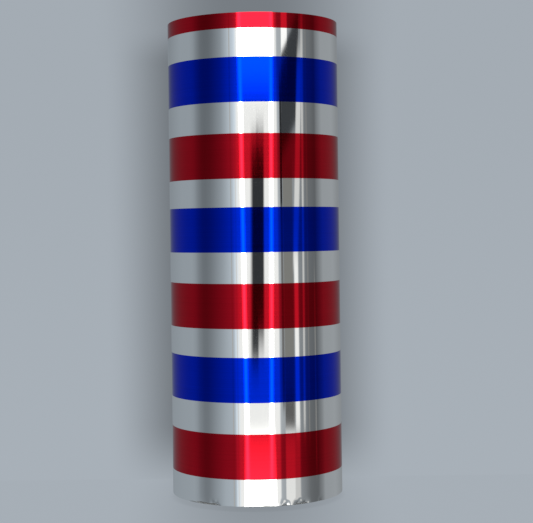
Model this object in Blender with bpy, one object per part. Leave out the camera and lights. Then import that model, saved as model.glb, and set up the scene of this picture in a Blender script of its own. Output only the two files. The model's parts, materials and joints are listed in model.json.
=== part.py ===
"""Barber pole light: a mirror drum with red and blue bands that turns round a battery lamp.

Blender 4.5, metres, +Z up. The origin is at the middle of the foot ring, on the surface that the
light stands on. The drum hangs on the lamp's column by two bushes, and a small gear motor under
the lamp turns it. The cells stand in a box at the bottom, behind a bayonet cover.
Run with: blender --background --python part.py
"""

import math

import bmesh
import bpy

MM = 0.001

# Driving dimensions
DRUM_RADIUS = 57.15 * MM  # outside of the coloured bands
DRUM_LENGTH = 314.2 * MM
RIM_CLEARANCE = 3.0 * MM  # the turning rim above the table
BAND_HEIGHT = 28.8 * MM  # a coloured band
FIRST_BAND = 17.2 * MM  # lowest red band above the rim
GAP_OVER_RED = 19.9 * MM
GAP_OVER_BLUE = 18.2 * MM
FILM = 0.2 * MM  # film thickness, with its glue
TUBE_WALL = 2.0 * MM
COLUMN_RADIUS = 5.0 * MM
CELL_RADIUS = 12.8 * MM
CELL_HEIGHT = 50.0 * MM
GEAR_MODULE = 1.25 * MM
HUB_TEETH = 40
PINION_TEETH = 12
BUTTON_TRAVEL = 1.5 * MM

# Allowances
GAP = 0.3 * MM  # between pieces that touch
FILM_GAP = 0.2 * MM
RUNNING = 0.3 * MM  # radial clearance of a turning fit
BACKLASH = 0.3 * MM  # off each tooth, at the pitch circle

# Levels, from the table up
RIM_LOW = RIM_CLEARANCE
RIM_HIGH = RIM_LOW + DRUM_LENGTH
BASE_LOW = RIM_LOW + 1.0 * MM
BASE_HIGH = BASE_LOW + 3.5 * MM
CELL_LOW = BASE_HIGH + 3.1 * MM
CELL_HIGH = CELL_LOW + CELL_HEIGHT
ROOF_LOW = CELL_HIGH + 1.9 * MM
ROOF_HIGH = ROOF_LOW + 2.5 * MM
DECK_LOW = ROOF_HIGH + 31.5 * MM
DECK_HIGH = DECK_LOW + 2.5 * MM
NUT_HEIGHT = 4.4 * MM
COLUMN_FLANGE_HIGH = DECK_HIGH + GAP + 4.4 * MM
WASHER_LOW = COLUMN_FLANGE_HIGH + GAP
WASHER_HIGH = WASHER_LOW + 1.0 * MM
HUB_LOW = WASHER_HIGH + GAP
GEAR_LOW = HUB_LOW + 1.2 * MM
GEAR_HIGH = GEAR_LOW + 5.0 * MM
HUB_DISC_LOW = GEAR_HIGH + 1.5 * MM
HUB_HIGH = HUB_DISC_LOW + 4.0 * MM
LAMP_LOW = HUB_HIGH + 1.0 * MM
TOP_HUB_HIGH = RIM_HIGH - 13.9 * MM
TOP_HUB_LOW = TOP_HUB_HIGH - 11.3 * MM
LAMP_HIGH = TOP_HUB_LOW - 4.5 * MM
COLUMN_LOW = DECK_LOW - NUT_HEIGHT - 1.6 * MM
COLUMN_HIGH = TOP_HUB_HIGH + 2.7 * MM

# Radii that several pieces share
BAND_INNER = DRUM_RADIUS - FILM
FILM_OUTER = BAND_INNER - FILM_GAP
FILM_INNER = FILM_OUTER - FILM
TUBE_OUTER = FILM_INNER - FILM_GAP
TUBE_INNER = TUBE_OUTER - TUBE_WALL
HUB_RIM = TUBE_INNER - GAP
BASE_RADIUS = TUBE_INNER - 1.8 * MM
COVER_RADIUS = 33.2 * MM
BAYONET_RADIUS = COVER_RADIUS + 2.7 * MM
BOX_INNER = BAYONET_RADIUS + 0.9 * MM
BOX_OUTER = BOX_INNER + 1.6 * MM
BOX_FLANGE = 48.5 * MM
SCREW_CIRCLE = 44.5 * MM
CELL_CIRCLE = 19.8 * MM
DECK_RADIUS = 46.0 * MM
BUSH_INNER = COLUMN_RADIUS + RUNNING
BUSH_OUTER = 8.0 * MM
HUB_BOSS = 11.5 * MM
CARRIER_APOTHEM = 8.5 * MM
DIFFUSER_OUTER = 20.6 * MM
DIFFUSER_INNER = 18.9 * MM
CAP_RADIUS = 22.0 * MM
HOUSING_RADIUS = 15.0 * MM
BUTTON_RADIUS = 6.0 * MM
GEAR_CENTRES = GEAR_MODULE * (HUB_TEETH + PINION_TEETH) / 2
MOTOR_CENTRE = GEAR_CENTRES - 5.5 * MM  # the output shaft is off the gearbox's middle
GEARBOX_RADIUS = 16.0 * MM

DRUM_SIDES = 40
ROUND_SIDES = 20
SMALL_SIDES = 12

# Places that several pieces share
STANDOFF_ANGLES = (75, 180, 285)
STANDOFF_CIRCLE = 33.0 * MM
SCREW_ANGLES = (90, 210, 330)
MOTOR_SCREWS = ((MOTOR_CENTRE, -11 * MM), (MOTOR_CENTRE, 11 * MM))
BAYONET_ANGLES = (0, 120, 240)
COVER_TURN = 30  # degrees from locked to the notches
LEAD_HOLE = (-10 * MM, 9 * MM)
BOARD_CENTRE = (-14 * MM, -13 * MM)
LEAD_RADIUS = 0.8 * MM
LEAD_SWAY = 0.35 * MM  # the switch lead isn't pulled straight in the column
LEAD_WINDOW = ((-1.5 * MM, 2 * MM), (1.5 * MM, 2 * MM), (1.5 * MM, 12 * MM), (-1.5 * MM, 12 * MM))
LEAD_WINDOW_LEVELS = (LAMP_LOW + 8 * MM, LAMP_LOW + 14 * MM)

MATERIALS = {
    "mirror_film": ((0.82, 0.84, 0.85), 0.06, 1.0),
    "red_film": ((0.55, 0.0, 0.04), 0.08, 1.0),
    "blue_film": ((0.0, 0.02, 0.55), 0.08, 1.0),
    "clear_acrylic": ((0.85, 0.88, 0.9), 0.1, 0.0),
    "white_plastic": ((0.85, 0.85, 0.83), 0.4, 0.0),
    "black_plastic": ((0.03, 0.03, 0.03), 0.45, 0.0),
    "opal_acrylic": ((0.92, 0.92, 0.9), 0.35, 0.0),
    "aluminium": ((0.75, 0.76, 0.78), 0.3, 1.0),
    "steel": ((0.6, 0.6, 0.6), 0.3, 1.0),
    "bronze": ((0.65, 0.45, 0.22), 0.35, 1.0),
    "rubber": ((0.04, 0.04, 0.04), 0.85, 0.0),
    "acetal": ((0.9, 0.88, 0.8), 0.35, 0.0),
    "circuit_board": ((0.02, 0.25, 0.1), 0.5, 0.0),
    "led_board": ((0.9, 0.9, 0.88), 0.4, 0.0),
    "cell_label": ((0.1, 0.1, 0.12), 0.3, 0.5),
    "wire_insulation": ((0.5, 0.02, 0.02), 0.5, 0.0),
}


# Tools: each makes one object, with its material, in place

def material_named(name):
    """The Principled material of that name, made the first time it is asked for."""
    material = bpy.data.materials.get(name)
    if material is None:
        colour, roughness, metallic = MATERIALS[name]
        material = bpy.data.materials.new(name)
        material.use_nodes = True
        shader = material.node_tree.nodes["Principled BSDF"]
        shader.inputs["Base Color"].default_value = (*colour, 1.0)
        shader.inputs["Roughness"].default_value = roughness
        shader.inputs["Metallic"].default_value = metallic
    return material


def finished(name, shape, material, at=(0, 0, 0), turn=0.0):
    """Turns a bmesh into an object at that place, turned about Z, with its normals facing out."""
    bmesh.ops.recalc_face_normals(shape, faces=shape.faces)
    mesh = bpy.data.meshes.new(name)
    shape.to_mesh(mesh)
    shape.free()
    mesh.shade_smooth()
    mesh.set_sharp_from_angle(angle=math.radians(35))
    piece = bpy.data.objects.new(name, mesh)
    piece.location = at
    piece.rotation_euler.z = turn
    if material:
        mesh.materials.append(material_named(material))
    bpy.context.scene.collection.objects.link(piece)
    return piece


def turned(name, profile, material, at=(0, 0, 0), sides=ROUND_SIDES):
    """A solid turned about its Z axis. The profile is (radius, height) points, in order round it."""
    shape = bmesh.new()
    points = [shape.verts.new((radius, 0, height)) for radius, height in profile]
    loop = zip(points, points[1:] + points[:1])
    edges = [shape.edges.new(ends) for ends in loop if ends[0].co.x or ends[1].co.x]
    bmesh.ops.spin(
        shape, geom=points + edges, axis=(0, 0, 1), cent=(0, 0, 0), steps=sides, angle=math.tau
    )
    bmesh.ops.remove_doubles(shape, verts=shape.verts, dist=1e-6)
    return finished(name, shape, material, at)


def ring(name, inner, outer, low, high, material, sides=ROUND_SIDES):
    """A plain tube or washer on the drum's axis."""
    profile = [(inner, low), (outer, low), (outer, high), (inner, high)]
    return turned(name, profile, material, sides=sides)


def add_prism(shape, outline, low, high):
    """Adds an upright prism of that outline to a bmesh."""
    base = shape.faces.new([shape.verts.new((x, y, low)) for x, y in outline])
    raised = bmesh.ops.extrude_face_region(shape, geom=[base])["geom"]
    corners = [item for item in raised if isinstance(item, bmesh.types.BMVert)]
    bmesh.ops.translate(shape, verts=corners, vec=(0, 0, high - low))


def prisms(name, outlines, low, high, material=None, at=(0, 0, 0), turn=0.0):
    """One object made of upright prisms with the same ends."""
    shape = bmesh.new()
    for outline in outlines:
        add_prism(shape, outline, low, high)
    return finished(name, shape, material, at, turn)


def circle(radius, centre=(0, 0), sides=SMALL_SIDES, first=0.5):
    """Points round a circle. The first is half a step round, so that a cut misses its piece's corners."""
    steps = [math.tau * (step + first) / sides for step in range(sides)]
    return [(centre[0] + radius * math.cos(a), centre[1] + radius * math.sin(a)) for a in steps]


def polar(radius, degrees):
    """The point at that radius and angle."""
    angle = math.radians(degrees)
    return radius * math.cos(angle), radius * math.sin(angle)


def sector(inner, outer, middle, width, steps=4):
    """A piece of a ring: its middle and width are in degrees."""
    angles = [middle - width / 2 + width * step / steps for step in range(steps + 1)]
    return [polar(outer, a) for a in angles] + [polar(inner, a) for a in reversed(angles)]


def radial_slot(inner, outer, width, degrees):
    """A straight slot that points away from the axis, at that angle."""
    angle = math.radians(degrees)
    corners = ((inner, -width / 2), (outer, -width / 2), (outer, width / 2), (inner, width / 2))
    along, across = (math.cos(angle), math.sin(angle)), (-math.sin(angle), math.cos(angle))
    return [(u * along[0] + v * across[0], u * along[1] + v * across[1]) for u, v in corners]


def rectangle(width, depth, centre=(0, 0)):
    """Corners of an upright rectangle's plan."""
    x, y = width / 2, depth / 2
    return [(centre[0] + i * x, centre[1] + j * y) for i, j in ((-1, -1), (1, -1), (1, 1), (-1, 1))]


def combine(piece, tool, operation):
    """A Boolean between a piece and a hidden tool object."""
    tool.hide_render = True
    tool.display_type = "WIRE"
    boolean = piece.modifiers.new(tool.name, "BOOLEAN")
    boolean.operation = operation
    boolean.solver = "EXACT"
    boolean.object = tool
    return piece


def cut(piece, outlines, low, high, turn=0.0):
    """Cuts upright prisms out of a piece."""
    name = f"{piece.name}_cutter_{len(piece.modifiers)}"
    return combine(piece, prisms(name, outlines, low, high, turn=turn), "DIFFERENCE")


def join(piece, outlines, low, high, turn=0.0):
    """Adds upright prisms to a piece, which they run into."""
    name = f"{piece.name}_addition_{len(piece.modifiers)}"
    return combine(piece, prisms(name, outlines, low, high, turn=turn), "UNION")


def bent_strip(name, line, thickness, width, at, turn, material):
    """A bent metal strip: its line is (along, height) points, and it is as wide across."""
    shape = bmesh.new()
    edge = [(x, z) for x, z in line] + [(x, z - thickness) for x, z in reversed(line)]
    side = shape.faces.new([shape.verts.new((x, -width / 2, z)) for x, z in edge])
    raised = bmesh.ops.extrude_face_region(shape, geom=[side])["geom"]
    corners = [item for item in raised if isinstance(item, bmesh.types.BMVert)]
    bmesh.ops.translate(shape, verts=corners, vec=(0, width, 0))
    return finished(name, shape, material, at, turn)


def smooth_route(points, steps):
    """Points along a Catmull-Rom curve through the route's own points."""
    ends = [points[0]] + list(points) + [points[-1]]
    route = []
    for before, start, stop, after in zip(ends, ends[1:], ends[2:], ends[3:]):
        for step in range(steps):
            t = step / steps
            route.append(
                tuple(
                    0.5 * (2 * b + (c - a) * t + (2 * a - 5 * b + 4 * c - d) * t**2
                           + (3 * b - a - 3 * c + d) * t**3)
                    for a, b, c, d in zip(before, start, stop, after)
                )
            )
    return route + [tuple(points[-1])]


def wire(name, points, radius, material, bevel_resolution=2):
    """A round wire along the points."""
    curve = bpy.data.curves.new(name, "CURVE")
    curve.dimensions = "3D"
    curve.bevel_depth = radius
    curve.bevel_resolution = bevel_resolution
    curve.use_fill_caps = True
    line = curve.splines.new("POLY")
    line.points.add(len(points) - 1)
    for place, point in zip(line.points, points):
        place.co = (*point, 1.0)
    curve.materials.append(material_named(material))
    piece = bpy.data.objects.new(name, curve)
    bpy.context.scene.collection.objects.link(piece)
    return piece


def gear_outline(teeth, phase=0.0):
    """A spur gear's outline with 20 degree involute flanks: root, pitch circle and tip."""
    pitch = GEAR_MODULE * teeth / 2
    base = pitch * math.cos(math.radians(20))
    half_tooth = (math.pi * GEAR_MODULE / 2 - BACKLASH) / 2 / pitch

    def involute(radius):
        roll = math.acos(min(1.0, base / radius))
        return math.tan(roll) - roll

    outline = []
    radii = (pitch - 1.2 * GEAR_MODULE, pitch, pitch + 0.9 * GEAR_MODULE)
    flank = [(radius, half_tooth + involute(pitch) - involute(radius)) for radius in radii]
    for tooth in range(teeth):
        middle = phase + math.tau * tooth / teeth
        sides = [(r, middle - half) for r, half in flank] + [(r, middle + half) for r, half in flank[::-1]]
        outline += [(r * math.cos(a), r * math.sin(a)) for r, a in sides]
    return outline


def screw(name, x, y, seat, head_up, length):
    """A pan-head screw. Its seat is the level that its head bears on."""
    side = 1 if head_up else -1
    start = seat + side * GAP
    head, shank, radius = 1.6 * MM, 1.4 * MM, 2.8 * MM
    profile = [
        (0, start - side * length), (shank, start - side * length), (shank, start), (radius, start),
        (radius, start + side * head * 0.55), (radius * 0.6, start + side * head), (0, start + side * head),
    ]
    return turned(name, profile, "steel", at=(x, y, 0), sides=SMALL_SIDES)


# The drum

def drum():
    """The clear tube, its mirror film and the coloured bands, and the discs that carry it."""
    ring("drum_tube", TUBE_INNER, TUBE_OUTER, RIM_LOW, RIM_HIGH, "clear_acrylic", DRUM_SIDES)
    ring("mirror_film", FILM_INNER, FILM_OUTER, RIM_LOW, RIM_HIGH, "mirror_film", DRUM_SIDES)
    colour_bands()
    lower_hub()
    top_disc()


def colour_bands():
    """Red and blue bands take turns up the drum. The top one is cut short by the rim."""
    low, counts = RIM_LOW + FIRST_BAND, {"red": 0, "blue": 0}
    colour = "red"
    while low < RIM_HIGH:
        counts[colour] += 1
        name = f"{colour}_band_{counts[colour]}"
        high = min(low + BAND_HEIGHT, RIM_HIGH)
        ring(name, BAND_INNER, DRUM_RADIUS, low, high, f"{colour}_film", DRUM_SIDES)
        low = high + (GAP_OVER_RED if colour == "red" else GAP_OVER_BLUE)
        colour = "blue" if colour == "red" else "red"


def lower_hub():
    """The disc that the drum turns on, with its bush and the gear under it."""
    bore = BUSH_OUTER + GAP
    turned(
        "lower_hub",
        [(bore, HUB_LOW), (HUB_BOSS, HUB_LOW), (HUB_BOSS, HUB_DISC_LOW), (HUB_RIM, HUB_DISC_LOW),
         (HUB_RIM, HUB_HIGH), (bore, HUB_HIGH)],
        "white_plastic", sides=DRUM_SIDES,
    )
    ring("lower_bush", BUSH_INNER, BUSH_OUTER, HUB_LOW, HUB_HIGH, "bronze")
    gear = prisms("hub_gear", [gear_outline(HUB_TEETH)], GEAR_LOW, GEAR_HIGH, "acetal")
    cut(gear, [circle(HUB_BOSS + GAP, sides=DRUM_SIDES)], GEAR_LOW - 1 * MM, GEAR_HIGH + 1 * MM)


def top_disc():
    """The vented disc that closes the drum under its upper rim, with its bush."""
    disc_low, disc_high = TOP_HUB_HIGH - 6.3 * MM, TOP_HUB_HIGH - 2.8 * MM
    bore, boss = BUSH_OUTER + GAP, HUB_BOSS - 1.5 * MM
    disc = turned(
        "top_disc",
        [(bore, TOP_HUB_LOW), (boss, TOP_HUB_LOW), (boss, disc_low), (HUB_RIM, disc_low),
         (HUB_RIM, disc_high), (boss, disc_high), (boss, TOP_HUB_HIGH), (bore, TOP_HUB_HIGH)],
        "white_plastic", sides=DRUM_SIDES,
    )
    vents = [radial_slot(24 * MM, 46 * MM, 3.2 * MM, 22.5 * slot) for slot in range(16)]
    cut(disc, vents, disc_low - 1 * MM, disc_high + 1 * MM)
    ring("upper_bush", BUSH_INNER, BUSH_OUTER, TOP_HUB_LOW, TOP_HUB_HIGH, "bronze")


# The stand: base, battery box and deck

def base():
    """The base plate, the rubber ring that it stands on and the screws that hold it to the box."""
    chamfer = 0.8 * MM
    plate = turned(
        "base_plate",
        [(COVER_RADIUS + 0.4 * MM, BASE_LOW), (BASE_RADIUS - chamfer, BASE_LOW),
         (BASE_RADIUS, BASE_LOW + chamfer), (BASE_RADIUS, BASE_HIGH), (COVER_RADIUS + 0.4 * MM, BASE_HIGH)],
        "black_plastic", sides=DRUM_SIDES,
    )
    notch = (COVER_RADIUS - 1 * MM, BAYONET_RADIUS + 0.5 * MM)
    notches = [sector(*notch, angle + COVER_TURN, 26) for angle in BAYONET_ANGLES]
    cut(plate, notches, BASE_LOW - 1 * MM, BASE_HIGH + 1 * MM)
    screw_places = [polar(SCREW_CIRCLE, angle) for angle in SCREW_ANGLES]
    cut(plate, [circle(1.8 * MM, place) for place in screw_places], BASE_LOW - 1 * MM, BASE_HIGH + 1 * MM)
    for number, (x, y) in enumerate(screw_places, 1):
        screw(f"base_screw_{number}", x, y, BASE_LOW, head_up=False, length=5.6 * MM)
    foot_inner, foot_outer, foot_high = BAYONET_RADIUS + 1.1 * MM, 41.2 * MM, BASE_LOW - GAP
    slope = 0.6 * MM
    turned(
        "foot_ring",
        [(foot_inner + slope, 0), (foot_outer - slope, 0), (foot_outer, slope), (foot_outer, foot_high),
         (foot_inner, foot_high), (foot_inner, slope)],
        "rubber", sides=DRUM_SIDES,
    )


def battery_box():
    """The cup that the cells stand in. Its flange takes the base screws, and its roof the motor deck."""
    low, flange_high = BASE_HIGH + GAP, BASE_HIGH + 2.8 * MM
    box = turned(
        "battery_box",
        [(0, ROOF_LOW), (BOX_INNER, ROOF_LOW), (BOX_INNER, low), (BOX_FLANGE, low),
         (BOX_FLANGE, flange_high), (BOX_OUTER, flange_high), (BOX_OUTER, ROOF_HIGH), (0, ROOF_HIGH)],
        "white_plastic", sides=DRUM_SIDES,
    )
    divider, reach = 1.4 * MM, 2 * BOX_INNER + 1 * MM
    cross = ((reach / 2, divider / 2), (divider / 2, divider / 2), (divider / 2, reach / 2))
    quarter_turns = ((1, 1), (-1, 1), (-1, -1), (1, -1))
    outline = []
    for i, j in quarter_turns:
        corner = [(i * x, j * y) for x, y in cross]
        outline += corner if i == j else corner[::-1]
    join(box, [outline], CELL_LOW + 3 * MM, ROOF_LOW - 3.5 * MM)
    roof_holes = [circle(1.9 * MM, polar(STANDOFF_CIRCLE, angle)) for angle in STANDOFF_ANGLES]
    roof_holes.append(circle(2.5 * MM, LEAD_HOLE))
    cut(box, roof_holes, ROOF_LOW - 1 * MM, ROOF_HIGH + 1 * MM)
    screw_holes = [circle(1.7 * MM, polar(SCREW_CIRCLE, angle)) for angle in SCREW_ANGLES]
    cut(box, screw_holes, low - 1 * MM, flange_high + 1 * MM)


def cells():
    """Four cells on end. Their contacts join them in a row, so every other cell stands on its head."""
    nub, nub_height, crimp = 3.3 * MM, 1.6 * MM, 0.8 * MM
    body, shoulder = CELL_HEIGHT - nub_height, CELL_RADIUS - crimp
    for number, angle in enumerate((45, 135, 225, 315), 1):
        x, y = polar(CELL_CIRCLE, angle)
        upright = number % 2 == 1
        heights = [0, 0, crimp, body - crimp, body, body, CELL_HEIGHT, CELL_HEIGHT]
        radii = [0, shoulder, CELL_RADIUS, CELL_RADIUS, shoulder, nub, nub, 0]
        levels = [CELL_LOW + h if upright else CELL_HIGH - h for h in heights]
        turned(f"cell_{number}", list(zip(radii, levels)), "cell_label", at=(x, y, 0), sides=20)


def contacts():
    """Sprung strips that join the cells: two in the cover, and a link and two tags under the roof."""
    reach = CELL_CIRCLE * math.cos(math.radians(45))
    thick, width, rise = 0.4 * MM, 8.0 * MM, 1.9 * MM
    arch = (3.0 * MM, 1.4 * MM)

    def line(middles, level, side):
        points = [(min(middles) - 6 * MM, level)]
        for middle in middles:
            points += [(middle - arch[0], level), (middle - arch[1], level + side * rise),
                       (middle + arch[1], level + side * rise), (middle + arch[0], level)]
        return points + [(max(middles) + 6 * MM, level)]

    cover_level, roof_level = CELL_LOW - 0.3 * MM - rise, ROOF_LOW - GAP
    for number, y in enumerate((reach, -reach), 1):
        bent_strip(f"cover_contact_{number}", line((-reach, reach), cover_level, 1), thick, width,
                   (0, y, 0), 0, "bronze")
    drop = roof_level - CELL_HIGH - GAP - thick
    rise = drop
    bent_strip("top_contact_link", line((-reach, reach), roof_level, -1), thick, width,
               (-reach, 0, 0), math.pi / 2, "bronze")
    bent_strip("positive_contact", line((0,), roof_level, -1), thick, width, (reach, reach, 0), 0, "bronze")
    bent_strip("negative_contact", line((0,), roof_level, -1), thick, width, (reach, -reach, 0), 0, "bronze")


def battery_cover():
    """The bayonet cover: three tabs over the base plate hold it, and a bar across it turns it."""
    low, disc_high = BASE_LOW + 0.2 * MM, BASE_LOW + 2.4 * MM
    collar_inner, collar_high = 29.0 * MM, BASE_HIGH + 2.6 * MM
    cover = turned(
        "battery_cover",
        [(0, low), (COVER_RADIUS, low), (COVER_RADIUS, collar_high), (collar_inner, collar_high),
         (collar_inner, disc_high), (0, disc_high)],
        "black_plastic", sides=DRUM_SIDES,
    )
    tabs = [sector(COVER_RADIUS - 1.5 * MM, BAYONET_RADIUS, angle, 20) for angle in BAYONET_ANGLES]
    join(cover, tabs, BASE_HIGH + GAP, BASE_HIGH + 2.2 * MM)
    join(cover, [rectangle(44 * MM, 6 * MM)], 1.4 * MM, low + 1 * MM)


def deck():
    """The plate over the battery box, on three standoffs. The motor hangs under it."""
    plate = ring("deck", COLUMN_RADIUS + GAP, DECK_RADIUS, DECK_LOW, DECK_HIGH, "aluminium", DRUM_SIDES)
    shaft_hole = circle(6.0 * MM, (GEAR_CENTRES, 0))
    motor_holes = [circle(1.7 * MM, place) for place in MOTOR_SCREWS]
    cut(plate, [shaft_hole] + motor_holes, DECK_LOW - 1 * MM, DECK_HIGH + 1 * MM)
    for number, angle in enumerate(STANDOFF_ANGLES, 1):
        x, y = polar(STANDOFF_CIRCLE, angle)
        body, stud = 3.2 * MM, 1.6 * MM
        low, high = ROOF_HIGH + GAP, DECK_LOW - GAP
        profile = [(0, ROOF_LOW + 0.4 * MM), (stud, ROOF_LOW + 0.4 * MM), (stud, low), (body, low),
                   (body, high), (0, high)]
        turned(f"standoff_{number}", profile, "steel", at=(x, y, 0), sides=12)


# The motor and its drive

def motor():
    """A flat gear motor, its two screws, and the shaft and pinion that it turns."""
    face = DECK_LOW - GAP
    gearbox_low, can_low, can_radius = face - 12 * MM, ROOF_HIGH + 2.2 * MM, 12.2 * MM
    shaft_radius, shaft_high = 3.0 * MM, GEAR_HIGH + 0.6 * MM
    at = (MOTOR_CENTRE, 0, 0)
    box = turned(
        "gearbox_case",
        [(0, gearbox_low), (GEARBOX_RADIUS, gearbox_low), (GEARBOX_RADIUS, face), (0, face)],
        "steel", at=at, sides=32,
    )
    shaft_pocket = circle(shaft_radius + RUNNING, (GEAR_CENTRES, 0))
    screw_holes = [circle(1.7 * MM, place) for place in MOTOR_SCREWS]
    cut(box, [shaft_pocket] + screw_holes, face - 7 * MM, face + 1 * MM)
    turned(
        "motor_can",
        [(0, can_low), (can_radius * 0.35, can_low), (can_radius * 0.4, can_low + 1.2 * MM),
         (can_radius - 1 * MM, can_low + 1.2 * MM), (can_radius, can_low + 2.2 * MM),
         (can_radius, gearbox_low - GAP), (0, gearbox_low - GAP)],
        "steel", at=at, sides=ROUND_SIDES,
    )
    for number, (x, y) in enumerate(MOTOR_SCREWS, 1):
        screw(f"motor_screw_{number}", x, y, DECK_HIGH, head_up=True, length=7 * MM)
    shaft_at = (GEAR_CENTRES, 0, 0)
    turned(
        "motor_shaft",
        [(0, face - 6.5 * MM), (shaft_radius, face - 6.5 * MM), (shaft_radius, shaft_high), (0, shaft_high)],
        "steel", at=shaft_at, sides=SMALL_SIDES,
    )
    half_pitch = math.pi / PINION_TEETH
    pinion = prisms("drive_pinion", [gear_outline(PINION_TEETH, half_pitch)], GEAR_LOW - 0.4 * MM,
                    GEAR_HIGH + 0.4 * MM, "bronze", at=shaft_at)
    bore = circle(shaft_radius + GAP / 2, (GEAR_CENTRES, 0))
    cut(pinion, [bore], GEAR_LOW - 1 * MM, GEAR_HIGH + 1 * MM)


# The column and the lamp on it

def column():
    """The hollow column with its flange, the nut under the deck and the washer that the drum turns on."""
    bore, flange, seat = 3.6 * MM, 9.0 * MM, DECK_HIGH + GAP
    post = turned(
        "column",
        [(bore, COLUMN_LOW), (COLUMN_RADIUS, COLUMN_LOW), (COLUMN_RADIUS, seat), (flange, seat),
         (flange, COLUMN_FLANGE_HIGH), (COLUMN_RADIUS, COLUMN_FLANGE_HIGH), (COLUMN_RADIUS, COLUMN_HIGH),
         (bore, COLUMN_HIGH)],
        "aluminium",
    )
    cut(post, [LEAD_WINDOW], *LEAD_WINDOW_LEVELS)
    low, high = DECK_LOW - GAP - NUT_HEIGHT, DECK_LOW - GAP
    nut = prisms("column_nut", [circle(8 * MM, sides=6, first=0)], low, high, "steel")
    cut(nut, [circle(COLUMN_RADIUS + GAP, sides=ROUND_SIDES)], low - 1 * MM, high + 1 * MM)
    ring("thrust_washer", BUSH_INNER, 9.5 * MM, WASHER_LOW, WASHER_HIGH, "acetal")


def lamp():
    """LED strips on a hexagonal carrier round the column, in an opal tube between two caps."""
    bore = COLUMN_RADIUS + GAP
    collar_high = LAMP_LOW + 4 * MM
    ring("lamp_collar", bore, 9 * MM, LAMP_LOW, collar_high, "steel")
    lip_outer, lip_inner, lip_depth = DIFFUSER_INNER - GAP, 16.8 * MM, 3.2 * MM
    cap_low, cap_high = collar_high + GAP, collar_high + 2.7 * MM
    turned(
        "diffuser_lower_cap",
        [(bore, cap_low), (CAP_RADIUS, cap_low), (CAP_RADIUS, cap_high), (lip_outer, cap_high),
         (lip_outer, cap_high + lip_depth), (lip_inner, cap_high + lip_depth), (lip_inner, cap_high),
         (bore, cap_high)],
        "white_plastic", sides=32,
    )
    roof_low, roof_high = LAMP_HIGH - 2.4 * MM, LAMP_HIGH
    turned(
        "diffuser_upper_cap",
        [(bore, roof_low), (lip_inner, roof_low), (lip_inner, roof_low - lip_depth),
         (lip_outer, roof_low - lip_depth), (lip_outer, roof_low), (CAP_RADIUS, roof_low),
         (CAP_RADIUS, roof_high), (bore, roof_high)],
        "white_plastic", sides=32,
    )
    low, high = cap_high + GAP, roof_low - GAP
    ring("diffuser_tube", DIFFUSER_INNER, DIFFUSER_OUTER, low, high, "opal_acrylic", 32)
    corner = CARRIER_APOTHEM / math.cos(math.radians(30))
    carrier = prisms("led_carrier", [circle(corner, sides=6, first=0)], low, high, "aluminium")
    cut(carrier, [circle(bore, sides=ROUND_SIDES)], low - 1 * MM, high + 1 * MM)
    cut(carrier, [LEAD_WINDOW], *LEAD_WINDOW_LEVELS)
    led_strips(low + 4 * MM, high - 4 * MM)


def led_strips(low, high):
    """Three narrow boards on every other face of the carrier, with a row of LEDs on each."""
    board, thick, chip, proud, count = 8 * MM, 1.2 * MM, 3.4 * MM, 0.9 * MM, 8
    face = CARRIER_APOTHEM + GAP
    pitch = (high - low) / count
    for number, angle in enumerate((30, 150, 270), 1):
        turn = math.radians(angle)
        strip = prisms(f"led_strip_{number}", [rectangle(thick, board, (face + thick / 2, 0))], low, high,
                       "led_board", turn=turn)
        leds = bmesh.new()
        outline = rectangle(proud + 0.3 * MM, chip, (face + thick + proud / 2 - 0.15 * MM, 0))
        for place in range(count):
            middle = low + pitch * (place + 0.5)
            add_prism(leds, outline, middle - chip / 2, middle + chip / 2)
        combine(strip, finished(f"led_chips_{number}", leds, None, turn=turn), "UNION")


def control_board():
    """The driver board on the battery box's roof."""
    low = ROOF_HIGH + 2.5 * MM
    board = prisms("control_board", [rectangle(22 * MM, 18 * MM, BOARD_CENTRE)], low, low + 1.6 * MM,
                   "circuit_board")
    posts = [rectangle(3 * MM, 3 * MM, (BOARD_CENTRE[0] + i * 8 * MM, BOARD_CENTRE[1] + j * 6 * MM))
             for i, j in ((-1, -1), (1, -1), (1, 1), (-1, 1))]
    join(board, posts, ROOF_HIGH + GAP, low + 0.5 * MM)
    chips = [rectangle(6 * MM, 5 * MM, (BOARD_CENTRE[0] + 3 * MM, BOARD_CENTRE[1])),
             rectangle(4 * MM, 12 * MM, (BOARD_CENTRE[0] - 7 * MM, BOARD_CENTRE[1]))]
    join(board, chips, low + 1 * MM, low + 4.5 * MM)


# The switch on top

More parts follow.
